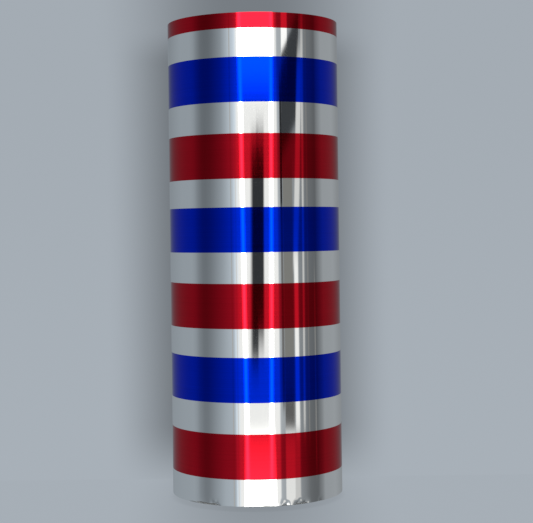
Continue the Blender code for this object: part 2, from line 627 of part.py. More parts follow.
def switch():
    """The fixed cap on the column's top, with the board and the sprung button in it."""
    low, top_high, wall = TOP_HUB_HIGH + GAP, RIM_HIGH - 2.7 * MM, 1.6 * MM
    floor_high, top_low, round_off = low + 2.2 * MM, top_high - 1.5 * MM, 2.0 * MM
    inner, hole, crown_edge = HOUSING_RADIUS - wall, BUTTON_RADIUS + RUNNING, HOUSING_RADIUS - round_off
    turned(
        "switch_housing",
        [(COLUMN_RADIUS + GAP, low), (HOUSING_RADIUS, low), (HOUSING_RADIUS, top_high - round_off),
         (crown_edge + 0.4 * round_off, top_high - 0.4 * round_off), (crown_edge, top_high),
         (hole, top_high), (hole, top_low), (inner, top_low), (inner, floor_high),
         (COLUMN_RADIUS + GAP, floor_high)],
        "black_plastic", sides=32,
    )
    board_low = COLUMN_HIGH + 0.5 * MM
    board_high = board_low + 1.2 * MM
    disc = [(0, board_low), (12 * MM, board_low), (12 * MM, board_high), (0, board_high)]
    board = turned("switch_board", disc, "circuit_board")
    join(board, [rectangle(6 * MM, 6 * MM)], board_high - 0.4 * MM, board_high + 1.0 * MM)
    flange_high = top_low - GAP
    flange_low, flange = flange_high - 0.8 * MM, 8.5 * MM
    crown = RIM_HIGH - 0.6 * MM
    turned(
        "push_button",
        [(0, flange_low), (flange, flange_low), (flange, flange_high), (BUTTON_RADIUS, flange_high),
         (BUTTON_RADIUS, crown - 0.9 * MM), (BUTTON_RADIUS - 0.9 * MM, crown - 0.1 * MM), (0, crown)],
        "aluminium",
    )
    spring(board_high + GAP, flange_low - GAP)


def spring(low, high):
    """The coil spring under the button."""
    turns, steps, radius, thick = 2.5, 12, 7.2 * MM, 0.25 * MM
    count = int(turns * steps)
    rise = high - low - 2 * thick
    coil = [
        (radius * math.cos(math.tau * i / steps), radius * math.sin(math.tau * i / steps),
         low + thick + rise * i / count)
        for i in range(count + 1)
    ]
    wire("button_spring", coil, thick, "steel", bevel_resolution=1)


# The leads inside

def leads():
    """Leads from the control board to the cells and the motor and, up the column, to lamp and switch."""
    board_x, board_y = BOARD_CENTRE
    solder = ROOF_HIGH + 5.7 * MM
    over_chips = ROOF_HIGH + 9.1 * MM
    column_lane = 1.7 * MM
    window = sum(LEAD_WINDOW_LEVELS) / 2
    rise_start = COLUMN_LOW + 6 * MM
    rise = COLUMN_HIGH + 0.2 * MM - rise_start
    rise_steps = 10
    up_the_column = [
        ((-1) ** step * LEAD_SWAY, -column_lane, rise_start + rise * step / rise_steps)
        for step in range(rise_steps + 1)
    ]
    routes = {
        "battery_lead": [
            (*LEAD_HOLE, ROOF_LOW + 0.5 * MM), (*LEAD_HOLE, ROOF_HIGH + 4 * MM),
            (board_x + 3 * MM, LEAD_HOLE[1] - 4 * MM, ROOF_HIGH + 9 * MM),
            (board_x + 1.5 * MM, board_y + 7 * MM, solder),
        ],
        "motor_lead": [
            (board_x + 9 * MM, board_y - 2 * MM, solder),
            (2 * MM, -14 * MM, over_chips + 1 * MM),
            (8 * MM, -16 * MM, over_chips + 4 * MM),
            (MOTOR_CENTRE - 9 * MM, -15 * MM, over_chips + 3 * MM),
            (MOTOR_CENTRE - 5 * MM, -13.6 * MM, over_chips + 1 * MM),
        ],
        "lamp_lead": [
            (board_x + 8 * MM, board_y + 7 * MM, solder),
            (-3 * MM, -2 * MM, COLUMN_LOW - 6 * MM), (0, column_lane, COLUMN_LOW + 3 * MM),
            (0, column_lane, (COLUMN_LOW + window) / 2), (0, column_lane, window - 5 * MM),
            (0, 5 * MM, window), (-1 * MM, 10.5 * MM, window + 0.5 * MM),
            (*polar(12.2 * MM, 120), window + 2 * MM), (*polar(12 * MM, 140), window + 3 * MM),
        ],
        "switch_lead": [
            (board_x + 1 * MM, board_y + 4 * MM, over_chips),
            (-9 * MM, -6 * MM, COLUMN_LOW - 8 * MM),
            (-1 * MM, -2.4 * MM, COLUMN_LOW - 2 * MM),
            *up_the_column,
        ],
    }
    for name, points in routes.items():
        wire(name, smooth_route(points, 3), LEAD_RADIUS, "wire_insulation", bevel_resolution=1)


def main():
    for old in list(bpy.data.objects):
        bpy.data.objects.remove(old)
    drum()
    base()
    battery_box()
    cells()
    contacts()
    battery_cover()
    deck()
    motor()
    column()
    lamp()
    control_board()
    switch()
    leads()


main()
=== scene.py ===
"""The looks of the barber pole light: a mirror drum with red and blue bands that stands on its foot.

The film and its bands, the clear tube, the switch, the spring, the foot ring and every finish are made
here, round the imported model. The studio is a ring of soft panels and dark flags for the film to reflect.
"""

import json
import math
from typing import NamedTuple

import bmesh
import bpy
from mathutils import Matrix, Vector, noise


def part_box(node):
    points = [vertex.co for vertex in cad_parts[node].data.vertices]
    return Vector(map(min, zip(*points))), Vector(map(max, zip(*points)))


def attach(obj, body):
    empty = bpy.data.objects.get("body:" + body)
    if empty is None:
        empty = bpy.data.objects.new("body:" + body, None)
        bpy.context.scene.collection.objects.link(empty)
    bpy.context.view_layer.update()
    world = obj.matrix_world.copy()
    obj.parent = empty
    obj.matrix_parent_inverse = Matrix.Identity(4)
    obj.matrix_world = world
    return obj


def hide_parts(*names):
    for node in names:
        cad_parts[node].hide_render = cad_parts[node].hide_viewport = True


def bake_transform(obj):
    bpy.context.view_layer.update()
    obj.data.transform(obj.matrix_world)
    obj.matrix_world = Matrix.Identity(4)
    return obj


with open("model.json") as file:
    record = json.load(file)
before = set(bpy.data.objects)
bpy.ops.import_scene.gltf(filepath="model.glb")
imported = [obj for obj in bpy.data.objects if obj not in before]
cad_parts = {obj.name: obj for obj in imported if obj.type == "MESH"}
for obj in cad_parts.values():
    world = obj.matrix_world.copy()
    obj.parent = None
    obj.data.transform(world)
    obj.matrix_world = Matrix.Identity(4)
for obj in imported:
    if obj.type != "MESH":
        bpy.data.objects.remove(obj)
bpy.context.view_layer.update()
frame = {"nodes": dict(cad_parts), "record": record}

MM = 0.001

# The drum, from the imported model
DRUM_LOW, DRUM_HIGH = (corner.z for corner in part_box("mirror_film"))
DRUM_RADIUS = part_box("red_band_1")[1].x
TUBE_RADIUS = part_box("drum_tube")[1].x
TUBE_WALL = 2.0 * MM
DRUM_SEGMENTS = 720
FINE_SEGMENTS = 128

# The film
FILM_RADIUS = DRUM_RADIUS - 0.06 * MM
STRIP_PROUD = 0.03 * MM
FILM_THICKNESS = 0.1 * MM
SEAM_ANGLE = math.radians(62)  # where the film laps over itself, at the back
SEAM_STEP = 0.05 * MM
WAVE_ROOM = 0.02 * MM  # keeps the film's waves within its radius

# Where the film's lower edge is crumpled: middle and half width in degrees from the front, how far it
# is pressed in, how far it is folded up (both in mm), and whether it is creased rather than smooth
CRUMPLES = (
    (-40, 15, 0.3, 1.3, False), (-29, 5, 0.45, 0.7, True), (3, 16, 0.1, 0.4, True),
    (18, 4.5, 0.4, 0.6, True), (29, 8, 0.7, 0.8, True), (44, 5, 0.15, 0.3, True),
    (118, 12, 0.3, 0.5, True), (196, 15, 0.4, 0.9, True), (250, 9, 0.3, 0.4, True),
)
CRUMPLE_HEIGHT = 6.0 * MM
DEEPEST_PRESS = 0.55  # in mm: the tube under the film starts a little deeper

# The film's finishes
SILVER, RED, BLUE = (0.86, 0.865, 0.86), (0.5, 0.0065, 0.017), (0.0, 0.02, 0.6)
TINTED_RIM = (0.78, 0.75, 0.76, 1)  # tinted film near its silhouette, seen aslant through its lacquer

# The switch, its spring and the foot
STEM_RADIUS = 6.0 * MM
CAP_BORE, CAP_WALL, CAP_FLOOR = 5.3 * MM, 1.6 * MM, 2.2 * MM
WIRE_RADIUS, SPRING_TURNS = 0.25 * MM, 2
FOOT_INNER = 37.0 * MM
TREAD = 0.6 * MM  # depth of the foot's grooves, and the size of its lower chamfers

# CAD parts that keep their own shape, with how far their edges are eased
EASED_NODES = (("top_disc", 0.35 * MM), ("base_plate", 0.3 * MM), ("battery_cover", 0.3 * MM))

# The camera: level, square to the axis, 16 radii away, and rolled a little
CAMERA_DISTANCE = 16.0 * DRUM_RADIUS
EYE_HEIGHT = DRUM_LOW + 3.068 * DRUM_RADIUS
LENS, SENSOR = 91.3, 36.0
SHIFT_X, SHIFT_Y = 0.0223, -0.0577
ROLL = math.radians(-0.72)

# The studio. Azimuths are in degrees from the camera's side of the drum, positive to +X, elevations
# are above the horizon, and brightness 1 shows white on a perfect mirror.
LOW_ELEVATION, HIGH_ELEVATION = -11.0, 9.0
# The surroundings: azimuth, brightness at the low elevation and at the high one
SURROUNDINGS = (
    (-180, 0.26, 0.26), (-153, 0.325, 0.265), (-115, 0.355, 0.35), (-94, 0.365, 0.35), (-88, 0.33, 0.32),
    (-81, 0.25, 0.24), (-74, 0.205, 0.165), (-68, 0.21, 0.15), (-62, 0.265, 0.15), (-56, 0.32, 0.18),
    (-50, 0.37, 0.23), (-43.5, 0.43, 0.3), (-37, 0.46, 0.44), (-33, 0.46, 0.56), (-29, 0.45, 0.62),
    (-26.5, 0.84, 0.68), (-23, 0.86, 0.82), (29, 0.7, 0.72), (31.5, 0.47, 0.47), (37, 0.41, 0.45),
    (44, 0.34, 0.35), (60, 0.3, 0.26), (69, 0.22, 0.25), (76, 0.155, 0.18), (82, 0.14, 0.17),
    (89.4, 0.135, 0.135), (92.5, 0.18, 0.21), (98.5, 0.25, 0.29), (104, 0.345, 0.35),
    (130, 0.36, 0.355), (153, 0.3, 0.27), (180, 0.25, 0.25),
)
LEFT_TINT, RIGHT_TINT = (0.885, 1.0, 1.11), (0.93, 1.0, 1.06)
WARM, COOL, NEUTRAL = (1.0, 1.0, 0.94), (0.9, 0.98, 1.08), (1.0, 1.0, 0.985)


class Panel(NamedTuple):
    """A panel or flag of the studio: its edges in degrees, with how soft each is, and its brightness."""

    azimuth: tuple
    elevation: tuple
    level: float
    soft: tuple = (2, 2)
    fade: tuple = (1, 1)
    tint: tuple = NEUTRAL
    lean: float = 0.0  # how far the azimuth moves for each degree of elevation
    rise: float = 0.0  # how far the elevation moves for each degree of azimuth


# The panels and flags laid over the surroundings, each one over those before it
PANELS = {
    "lamp panel": Panel((-23, 31.5), (-60, 40), 0.96, soft=(5, 3), fade=(20, 20)),
    "upper lamp": Panel((-20, 25), (6.25, 24), 4.5, soft=(2, 3), fade=(1.5, 20), tint=WARM),
    "lower lamp": Panel((-16.5, 24.5), (-40, -9.5), 4.5, soft=(3, 3), fade=(20, 3.2), tint=WARM),
    "left flag": Panel((-4.6, 5), (-5.7, 3.8), 0.035, soft=(6, 3), fade=(1.8, 2.4), tint=COOL, lean=0.35),
    "right flag": Panel((2, 12.3), (-4.8, 4.1), 0.035, soft=(3, 3.6), fade=(2.4, 2.6), tint=COOL, lean=0.35),
    "left tube": Panel((-17, -13.2), (-45, 35), 7.0, soft=(4, 4), fade=(30, 30), lean=-0.25),
    "right tube": Panel((20.4, 24), (-45, 35), 7.0, soft=(4, 4), fade=(30, 30), lean=0.33),
    "left seam": Panel((-31.8, -30.4), (-60, 60), 0.42, soft=(1, 1)),
    "left gap": Panel((-25.3, -24.1), (-60, 4), 0.68, soft=(1, 1)),
    "upper card": Panel((38.6, 47), (7.0, 16), 1.15, soft=(1.5, 1.5), fade=(0.4, 3)),
    "grey column": Panel((38.6, 52), (-8.3, 3.0), 0.22, soft=(1.5, 2), fade=(0.6, 1), tint=WARM),
    "grey foot": Panel((38.6, 51), (-8.3, -6.9), 0.11, soft=(1.5, 3), fade=(0.4, 1)),
    "lower card": Panel((38.3, 53), (-18, -8.4), 0.85, soft=(2, 3), fade=(4, 0.5)),
    "lower side card": Panel((52, 59.5), (-18, -8.4), 0.62, soft=(3, 3), fade=(4, 0.5)),
    "dark column": Panel(
        (36.3, 61.6), (3.0, 7.3), 0.05, soft=(1.2, 1.6), fade=(0.7, 0.4), tint=COOL, lean=0.3, rise=0.069
    ),
    "dark line": Panel((34.8, 38.0), (0.9, 6.6), 0.025, soft=(1.2, 1.2), fade=(0.5, 1.2), tint=COOL),
    "dim line": Panel((34.8, 38.0), (-7.5, 0.9), 0.16, soft=(1.2, 1.2), fade=(0.8, 0.5)),
    "bright strip": Panel((53.5, 60.8), (-1.5, 7.4), 0.72, soft=(2.5, 2.5), fade=(1, 2), lean=1.1),
    "bright foot": Panel((53.4, 59.8), (-8.4, -1.0), 0.98, soft=(2.5, 2.5), fade=(0.5, 1.2)),
    "thin line": Panel((66.6, 69.6), (-8.4, 9), 0.6, soft=(1.6, 2.6), fade=(1, 4), lean=0.15),
    "dim thin line": Panel((74.5, 76), (-9, 9), 0.24, soft=(1.2, 1.2), fade=(1, 4)),
    "low thin line": Panel((85.6, 87.6), (-10, -2), 0.26, soft=(1.2, 1.2), fade=(1, 3)),
    "back lamp": Panel((-152, -134), (-60, -13), 1.8, soft=(5, 5), fade=(20, 4)),
    "back card": Panel((128, 146), (-60, -13), 1.3, soft=(4, 4), fade=(20, 4)),
}

# The overhead lamp, in watts and metres
LAMP_POWER, LAMP_SIZE, LAMP_PLACE = 5.0, 1.2, (-0.35, -0.45, 1.7)
LAMP_TARGET = (0, 0, 0.15)

# The backdrop: a card close behind the drum, seen only from its front, and a floor bowl round it all
CARD_DISTANCE = DRUM_RADIUS + 5 * MM
CARD_HALF_WIDTH, CARD_TOP = 1.5, 2.0
FLOOR_FLAT, FLOOR_SWEEP, FLOOR_TOP = 2.2, 0.9, 4.0
BACKDROP = (0.376, 0.418, 0.462)
PAINTED_SHADE_MIDDLE = -3.75 * MM  # the painted shade on the card is centred a little to the left of the drum


# Nodes

class Nodes:
    """Short calls for the nodes of one tree."""

    def __init__(self, tree):
        self.tree = tree
        tree.nodes.clear()

    def add(self, kind, settings=None, **inputs):
        """A node with its properties set, and its inputs set or linked."""
        node = self.tree.nodes.new(kind)
        for name, value in (settings or {}).items():
            setattr(node, name, value)
        for name, value in inputs.items():
            self.feed(node, name.replace("_", " "), value)
        return node

    def feed(self, node, name, value):
        """Sets an input, or links it where the value is another node's output."""
        socket = node.inputs[int(name)] if name.isdigit() else node.inputs[name]
        if isinstance(value, bpy.types.NodeSocket):
            self.tree.links.new(value, socket)
        else:
            socket.default_value = value

    def math(self, operation, *values):
        """A Math node's result."""
        node = self.tree.nodes.new("ShaderNodeMath")
        node.operation = operation
        for number, value in enumerate(values):
            self.feed(node, str(number), value)
        return node.outputs[0]

    def step(self, value, start, end, low=0.0, high=1.0):
        """A smooth step from low at the start to high at the end."""
        settings = {"interpolation_type": "SMOOTHSTEP"}
        limits = {"From_Min": start, "From_Max": end, "To_Min": low, "To_Max": high}
        return self.add("ShaderNodeMapRange", settings, Value=value, **limits).outputs[0]

    def blend(self, factor, first, second):
        """A number between first and second."""
        part = self.math("MULTIPLY", self.math("SUBTRACT", second, first), factor)
        return self.math("ADD", first, part)

    def length(self, *sides):
        """The length of a vector with these two sides."""
        squares = [self.math("MULTIPLY", side, side) for side in sides]
        return self.math("SQRT", self.math("ADD", *squares))

    def window(self, value, edges, soft):
        """1 between the edges, falling to 0 over each edge's soft width."""
        rise = self.step(value, edges[0] - soft[0] / 2, edges[0] + soft[0] / 2)
        fall = self.step(value, edges[1] + soft[1] / 2, edges[1] - soft[1] / 2)
        return self.math("MULTIPLY", rise, fall)

    def mix(self, factor, first, second):
        """A colour mix of two colours or outputs. A factor past 1 goes past the second."""
        node = self.tree.nodes.new("ShaderNodeMix")
        node.data_type, node.clamp_factor = "RGBA", False
        for name, value in (("0", factor), ("6", first), ("7", second)):
            self.feed(node, name, value)
        return node.outputs[2]


# The camera and the studio

def add_camera():
    """The photo's camera."""
    data = bpy.data.cameras.new("camera")
    data.lens, data.sensor_width = LENS, SENSOR
    data.shift_x, data.shift_y = SHIFT_X, SHIFT_Y
    data.clip_start = 0.01
    camera = bpy.data.objects.new("camera", data)
    camera.location = (0, -CAMERA_DISTANCE, EYE_HEIGHT)
    camera.rotation_euler = (math.radians(90), 0, 0)
    camera.rotation_euler.rotate_axis("Z", ROLL)
    bpy.context.scene.collection.objects.link(camera)
    bpy.context.scene.camera = camera


def add_studio():
    """The world: its surroundings by azimuth, with the panels and flags laid over them in order."""
    world = bpy.data.worlds.new("studio")
    world.use_nodes = True
    bpy.context.scene.world = world
    nodes = Nodes(world.node_tree)
    direction = nodes.add("ShaderNodeTexCoord").outputs["Generated"]
    split = nodes.add("ShaderNodeSeparateXYZ", Vector=direction)
    towards = nodes.math("MULTIPLY", split.outputs["Y"], -1.0)
    azimuth = nodes.math("DEGREES", nodes.math("ARCTAN2", split.outputs["X"], towards))
    elevation = nodes.math("DEGREES", nodes.math("ARCSINE", split.outputs["Z"]))
    ramps = [surroundings_ramp(nodes, azimuth, column) for column in (1, 2)]
    climb = nodes.add(
        "ShaderNodeMapRange", Value=elevation, From_Min=LOW_ELEVATION, From_Max=HIGH_ELEVATION
    ).outputs[0]
    colour = nodes.mix(climb, *ramps)
    for panel in PANELS.values():
        colour = lay_panel(nodes, colour, azimuth, elevation, panel)
    background = nodes.add("ShaderNodeBackground", Color=colour, Strength=1.0)
    nodes.add("ShaderNodeOutputWorld", Surface=background.outputs[0])


def surroundings_ramp(nodes, azimuth, column):
    """The brightness round the drum at one elevation, as a colour."""
    ramp = nodes.add("ShaderNodeValToRGB", Fac=nodes.math("MULTIPLY_ADD", azimuth, 1 / 360, 0.5))
    stops = ramp.color_ramp.elements
    for number, row in enumerate(SURROUNDINGS):
        place = row[0] / 360 + 0.5
        stop = stops[number] if number < 2 else stops.new(place)
        stop.position = place
        tint = LEFT_TINT if row[0] < 0 else RIGHT_TINT
        stop.color = (*(row[column] * part for part in tint), 1)
    return ramp.outputs["Color"]


def lay_panel(nodes, under, azimuth, elevation, panel):
    """Mixes one panel over what is under it."""
    along, height = azimuth, elevation
    if panel.lean:
        along = nodes.math("SUBTRACT", azimuth, nodes.math("MULTIPLY", elevation, panel.lean))
    if panel.rise:
        across = nodes.math("SUBTRACT", azimuth, panel.azimuth[0])
        height = nodes.math("SUBTRACT", elevation, nodes.math("MULTIPLY", across, panel.rise))
    cover = nodes.math(
        "MULTIPLY",
        nodes.window(along, panel.azimuth, panel.soft),
        nodes.window(height, panel.elevation, panel.fade),
    )
    return nodes.mix(cover, under, (*(panel.level * part for part in panel.tint), 1))


def add_backdrop():
    """A pale floor that sweeps up to a wall all round, and a card behind the drum, seen by the camera."""
    profile = [(0, 0), (FLOOR_FLAT, 0)]
    for turn in quarter_turn(12):
        profile.append((FLOOR_FLAT + FLOOR_SWEEP * math.sin(turn), FLOOR_SWEEP * (1 - math.cos(turn))))
    floor = lathe("floor", profile + [(FLOOR_FLAT + FLOOR_SWEEP, FLOOR_TOP)], 96, closed=False)
    shape = bmesh.new()
    side = CARD_HALF_WIDTH
    corners = [(-side, 0), (side, 0), (side, CARD_TOP), (-side, CARD_TOP)]
    shape.faces.new([shape.verts.new((x, CARD_DISTANCE, z)) for x, z in corners])
    card = finish_mesh("backdrop_card", shape)
    for piece, one_sided in ((floor, False), (card, True)):
        piece.data.materials.append(backdrop_material(piece.name, one_sided))
        for ray in ("diffuse", "glossy", "transmission", "shadow"):
            setattr(piece, f"visible_{ray}", False)


def add_lights():
    """One big soft lamp overhead, for the upper end of the light. The backdrop glows by itself."""
    data = bpy.data.lights.new("overhead", "AREA")
    data.shape, data.size, data.energy = "DISK", LAMP_SIZE, LAMP_POWER
    lamp = bpy.data.objects.new("overhead", data)
    lamp.location = LAMP_PLACE
    lamp.rotation_euler = (Vector(LAMP_TARGET) - lamp.location).to_track_quat("-Z", "Y").to_euler()
    bpy.context.scene.collection.objects.link(lamp)


# Shapes

def quarter_turn(steps):
    """Angles from 0 to 90 degrees, without the first."""
    return [math.pi / 2 * step / steps for step in range(1, steps + 1)]


def finish_mesh(name, shape, sharp=35):
    """Links a bmesh as an object, smooth but for its sharp edges."""
    bmesh.ops.recalc_face_normals(shape, faces=shape.faces)
    mesh = bpy.data.meshes.new(name)
    shape.to_mesh(mesh)
    shape.free()
    mesh.shade_smooth()
    mesh.set_sharp_from_angle(angle=math.radians(sharp))
    piece = bpy.data.objects.new(name, mesh)
    bpy.context.scene.collection.objects.link(piece)
    return piece


def lathe(name, profile, segments=FINE_SEGMENTS, closed=True):
    """A profile of (radius, height) points turned about the drum's axis."""
    shape = bmesh.new()
    rings = []
    for radius, height in profile:
        if radius < 1e-7:
            rings.append([shape.verts.new((0, 0, height))] * segments)
            continue
        ring = []
        for step in range(segments):
            turn = math.tau * step / segments
            ring.append(shape.verts.new((radius * math.cos(turn), radius * math.sin(turn), height)))
        rings.append(ring)
    pairs = list(zip(rings, rings[1:]))
    if closed and rings[0][0] is not rings[0][1]:
        pairs.append((rings[-1], rings[0]))
    for lower, upper in pairs:
        for step in range(segments):
            after = (step + 1) % segments
            corners = dict.fromkeys((lower[step], lower[after], upper[after], upper[step]))
            if len(corners) > 2:
                shape.faces.new(list(corners))
    return finish_mesh(name, shape)


# The film

def film_wave(angle, height):
    """How far the film stands off a true cylinder: long soft waves and finer ripples along the axis."""
    here = Vector((math.cos(angle), math.sin(angle), 0))
    broad = noise.noise(here * 5.0 + Vector((0, 0, height * 3.0)))
    middle = noise.noise(here * 17.0 + Vector((9, 0, height * 6.0)))
    fine = noise.noise(here * 60.0 + Vector((0, 9, height * 9.0)))
    return (0.016 * broad + 0.006 * middle + 0.0012 * fine) * MM


def seam_drop(angle):
    """The lap at the back: the film starts one thickness lower there, and climbs on its way round."""
    round_from_seam = ((angle - SEAM_ANGLE) % math.tau) / math.tau
    return SEAM_STEP * round_from_seam


def film_radius(angle, height):
    """The film's radius before it is crumpled."""
    return FILM_RADIUS - WAVE_ROOM + film_wave(angle, height) - seam_drop(angle)


def crumple(angle, height):
    """How far the film's lower edge is pressed in, and how far it is folded up: uneven all round."""
    from_front = math.degrees(angle) + 90
    fade = max(0.0, 1 - (height - DRUM_LOW) / CRUMPLE_HEIGHT) ** 2
    if not fade:
        return 0.0, 0.0
    press = 0.0
    fold = 0.2 + 0.15 * noise.noise(Vector((math.cos(angle), math.sin(angle), 0)) * 25)
    arc = DRUM_RADIUS * math.radians(from_front) / MM
    creases = noise.voronoi(Vector((arc * 0.27, height / MM * 0.3, 0)))[0][0]
    for middle, half, depth, lift, creased in CRUMPLES:
        away = ((from_front - middle + 180) % 360 - 180) / half
        if abs(away) < 1:
            swell = (1 - away * away) ** 2
            press += depth * swell * (1.4 * creases if creased else 0.6)
            fold += lift * swell * (0.4 + creases if creased else 1)
    return min(press * fade, DEEPEST_PRESS) * MM, fold * fade * MM


def film_levels(low, high):
    """Heights of the film's rows: close together at the lower edge, and wider above it."""
    levels, level = [low], low
    while level < high - 1e-6:
        near = max(0.0, (level - DRUM_LOW) / CRUMPLE_HEIGHT)
        level = min(high, level + (0.4 * MM if near < 1 else 5.0 * MM))
        if high - level < 0.2 * MM:
            level = high
        levels.append(level)
    return levels


def film_sheet(name, low, high, proud):
    """A thin closed sheet round the drum, between two heights."""
    shape = bmesh.new()
    rings = []
    angles = [SEAM_ANGLE + math.tau * (step + 0.5) / DRUM_SEGMENTS for step in range(DRUM_SEGMENTS)]
    for level in film_levels(low, high):
        ring = []
        for angle in angles:
            press, fold = crumple(angle, level)
            radius = film_radius(angle, level) + proud - press
            ring.append(shape.verts.new((radius * math.cos(angle), radius * math.sin(angle), level + fold)))
        rings.append(ring)
    for outer in (rings[-1], rings[0]):
        inner = []
        for vertex in outer:
            scale = 1 - FILM_THICKNESS / math.hypot(vertex.co.x, vertex.co.y)
            inner.append(shape.verts.new((vertex.co.x * scale, vertex.co.y * scale, vertex.co.z)))
        rings.append(inner)
    for lower, upper in zip(rings, rings[1:] + rings[:1]):
        for step in range(DRUM_SEGMENTS):
            after = (step + 1) % DRUM_SEGMENTS
            shape.faces.new((lower[step], lower[after], upper[after], upper[step]))
    return finish_mesh(name, shape, sharp=50)


def add_film():
    """The mirror film, and on it the coloured bands."""
    film = film_sheet("film_sheet", DRUM_LOW, DRUM_HIGH, 0)
    dress(film, "drum", "mirror_film", "mirror_film")
    for node in sorted(frame["nodes"]):
        if node.startswith(("red_band_", "blue_band_")):
            low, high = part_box(node)
            strip = film_sheet(node.replace("band", "strip"), low.z, high.z, STRIP_PROUD)
            dress(strip, "drum", node.split("_")[0] + "_film", node)


def rounded(corners, radii, steps=4):
    """A closed profile with each corner turned into a small curve."""
    points = []
    for number, (corner, radius) in enumerate(zip(corners, radii)):
        here = Vector(corner)
        before, after = Vector(corners[number - 1]), Vector(corners[(number + 1) % len(corners)])
        if not radius:
            points.append(tuple(here))
            continue
        start = here + (before - here).normalized() * radius
        end = here + (after - here).normalized() * radius
        for step in range(steps + 1):
            part = step / steps
            points.append(tuple(start.lerp(here, part).lerp(here.lerp(end, part), part)))
    return points


def add_tube():
    """The clear tube under the film, with its sawn ends eased."""
    low, high = (corner.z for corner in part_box("drum_tube"))
    inner = TUBE_RADIUS - TUBE_WALL
    corners = [(inner, low), (TUBE_RADIUS, low), (TUBE_RADIUS, high), (inner, high)]
    tube = lathe("tube_shell", rounded(corners, [0.4 * MM] * 4), DRUM_SEGMENTS // 2)
    dress(tube, "drum", "clear_acrylic", "drum_tube")


def add_switch():
    """The cap on the column, dished round its button, and the button with a shallow finger dish."""
    low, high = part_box("switch_housing")
    radius, bottom, top = high.x, low.z, high.z
    hole, dish, under = STEM_RADIUS + 0.3 * MM, top - 0.8 * MM, top - 1.5 * MM
    corners = [
        (CAP_BORE, bottom), (radius, bottom), (radius, top), (hole + 3.2 * MM, top),
        (hole + 0.7 * MM, dish), (hole, dish), (hole, under), (radius - CAP_WALL, under),
        (radius - CAP_WALL, bottom + CAP_FLOOR), (CAP_BORE, bottom + CAP_FLOOR),
    ]
    radii = [0, 0.5 * MM, 2.2 * MM, 0.8 * MM, 0.3 * MM, 0.1 * MM, 0, 0, 0, 0]
    cap = lathe("switch_cap", rounded(corners, radii, 6))
    dress(cap, "stand", "black_plastic", "switch_housing")
    low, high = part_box("push_button")
    flange, flange_high, crown = high.x, low.z + 0.8 * MM, high.z
    corners = [
        (0, low.z), (flange, low.z), (flange, flange_high), (STEM_RADIUS, flange_high),
        (STEM_RADIUS, crown), (STEM_RADIUS - 1.6 * MM, crown), (0, crown - 0.5 * MM),
    ]
    button = lathe("button_cap", rounded(corners, [0, 0.1 * MM, 0.1 * MM, 0, 0.7 * MM, 0.8 * MM, 0], 6))
    dress(button, "button", "aluminium", "push_button")


def add_spring():
    """The coil under the button, with its foot on the board."""
    low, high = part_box("button_spring")
    steps, sides = 48, 10  # round each turn of the coil, and round its wire
    coil, climb = high.x - WIRE_RADIUS, high.z - low.z - 2 * WIRE_RADIUS
    shape = bmesh.new()
    rings = []
    for step in range(SPRING_TURNS * steps + 1):
        turn = math.tau * step / steps
        height = low.z + WIRE_RADIUS + climb * step / (SPRING_TURNS * steps)
        ring = []
        for side in range(sides):
            around = math.tau * side / sides
            radius = coil + WIRE_RADIUS * math.cos(around)
            level = height + WIRE_RADIUS * math.sin(around)
            ring.append(shape.verts.new((radius * math.cos(turn), radius * math.sin(turn), level)))
        rings.append(ring)
    for lower, upper in zip(rings, rings[1:]):
        for side in range(sides):
            after = (side + 1) % sides
            shape.faces.new((lower[side], lower[after], upper[after], upper[side]))
    shape.faces.new(rings[0])
    shape.faces.new(rings[-1])
    spring = finish_mesh("button_coil", shape, sharp=60)
    spring.data.materials.append(MATERIALS["steel"])
    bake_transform(spring)
    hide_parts("button_spring")


def add_foot():
    """The rubber ring, with two grooves in its tread."""
    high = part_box("foot_ring")[1]
    outer, top = high.x, high.z
    corners = [(outer, top), (FOOT_INNER, top), (FOOT_INNER, TREAD), (FOOT_INNER + TREAD, 0)]
    for groove in (FOOT_INNER + 1.5 * MM, FOOT_INNER + 2.7 * MM):
        corners += [(groove - 0.35 * MM, 0), (groove - 0.15 * MM, TREAD)]
        corners += [(groove + 0.15 * MM, TREAD), (groove + 0.35 * MM, 0)]
    corners += [(outer - TREAD, 0), (outer, TREAD)]
    foot = lathe("foot_shell", rounded(corners, [0.08 * MM] * len(corners), 2))
    dress(foot, "stand", "rubber", "foot_ring")


def ease_edges():
    """Softens the moulded edges of the CAD parts that can be seen."""
    for node, width in EASED_NODES:
        bevel = frame["nodes"][node].modifiers.new("eased edges", "BEVEL")
        bevel.width, bevel.segments = width, 2
        bevel.limit_method, bevel.angle_limit = "ANGLE", math.radians(40)


def dress(piece, body, slot, *nodes):
    """Gives a piece its finish and body, and hides the CAD nodes that it stands for."""
    if not piece.data.materials:
        piece.data.materials.append(MATERIALS[slot])
    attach(piece, body)
    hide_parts(*nodes)


# Materials

def card_shade(nodes, x, z):
    """How bright the card is painted: painted shade close beside the drum and above it, less of it towards
    the floor.
    """
    across = nodes.math("SUBTRACT", x, PAINTED_SHADE_MIDDLE)
    aside = nodes.math("SUBTRACT", nodes.math("ABSOLUTE", across), DRUM_RADIUS)
    darkness = nodes.step(aside, -12.5 * MM, 47.5 * MM, 0.58, 0.0)
    off_floor = nodes.step(z, -18 * MM, 42.5 * MM)
    beside = nodes.math("SUBTRACT", 1.0, nodes.math("MULTIPLY", darkness, off_floor))
    higher = nodes.math("MAXIMUM", nodes.math("SUBTRACT", z, DRUM_HIGH + 20 * MM), 0.0)
    from_middle = nodes.length(across, nodes.math("MULTIPLY", higher, 0.6))
    above = nodes.step(from_middle, 12 * MM, 112 * MM, 0.5, 1.0)
    return nodes.blend(nodes.step(z, DRUM_HIGH - 19 * MM, DRUM_HIGH + 9 * MM), beside, above)


